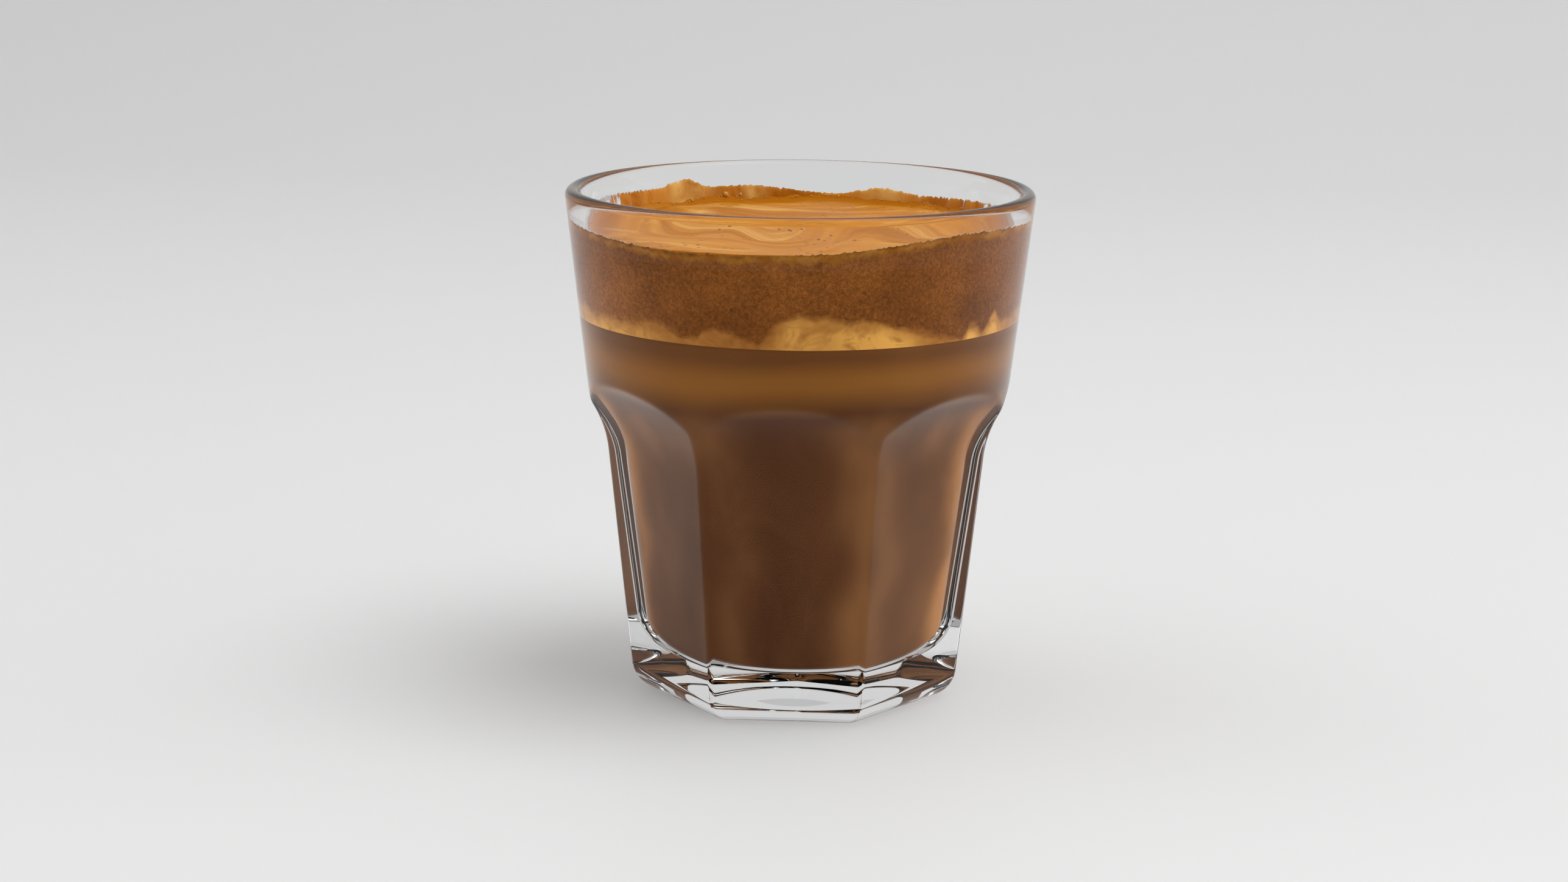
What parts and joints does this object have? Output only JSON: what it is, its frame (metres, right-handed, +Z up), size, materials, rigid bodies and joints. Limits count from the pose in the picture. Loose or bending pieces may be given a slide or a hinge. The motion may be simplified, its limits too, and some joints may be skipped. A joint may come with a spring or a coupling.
{
  "type": "frappe coffee in a glass tumbler",
  "caption": "Iced frappe coffee in a clear pressed-glass tumbler with flat lower sides; coffee, a marbled cream band, brown foam and a crust are separate layers.",
  "frame": {"origin": "middle of the foot, on the surface the glass stands on", "axes": "+Z up; -Y is the front, where one flat side faces straight out; +X to the right"},
  "size_m": [0.086, 0.086, 0.0946],
  "materials": {
    "clear_glass": "clear pressed glass, fire polished",
    "coffee": "dark reddish-brown iced coffee",
    "cream": "pale yellow-tan cream, marbled",
    "foam": "brown foam of fine bubbles",
    "crust": "orange-brown coffee crust with swirls"
  },
  "bodies": {
    "root": {"glass": "clear_glass", "coffee": "coffee", "cream": "cream", "foam": "foam", "crust": "crust"}
  },
  "joints": []
}
